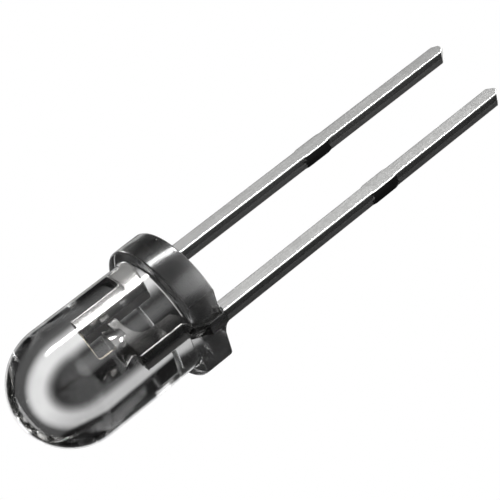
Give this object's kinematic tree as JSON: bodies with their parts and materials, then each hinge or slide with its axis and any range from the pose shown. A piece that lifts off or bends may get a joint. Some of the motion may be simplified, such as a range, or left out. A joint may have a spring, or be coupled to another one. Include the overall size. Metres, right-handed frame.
{
  "type": "miniature led lamp",
  "caption": "Round through-hole indicator lamp: clear domed epoxy lens with a flatted flange, reflector cup, chip and bond wire inside, and straight square leads.",
  "frame": {"origin": "centre of the flange's seating face, on the optical axis", "axes": "+Z along the optical axis towards the dome; the leads lie in the X-Z plane, with the cathode and the flange's flat on -X"},
  "size_m": [0.0035, 0.0038, 0.0161],
  "materials": {
    "epoxy": "clear grey cast epoxy, polished by its mould",
    "lead_plate": "bright tin plate over steel strip, sheared edges duller",
    "adhesive": "silver-filled adhesive, matte",
    "chip": "sawn semiconductor",
    "gold": "bright gold"
  },
  "bodies": {
    "root": {"epoxy_body": "epoxy", "cathode_lead": "lead_plate", "anode_lead": "lead_plate", "die_adhesive": "adhesive", "led_die": "chip", "bond_pad": "gold", "bond_wire": "gold"}
  },
  "joints": []
}
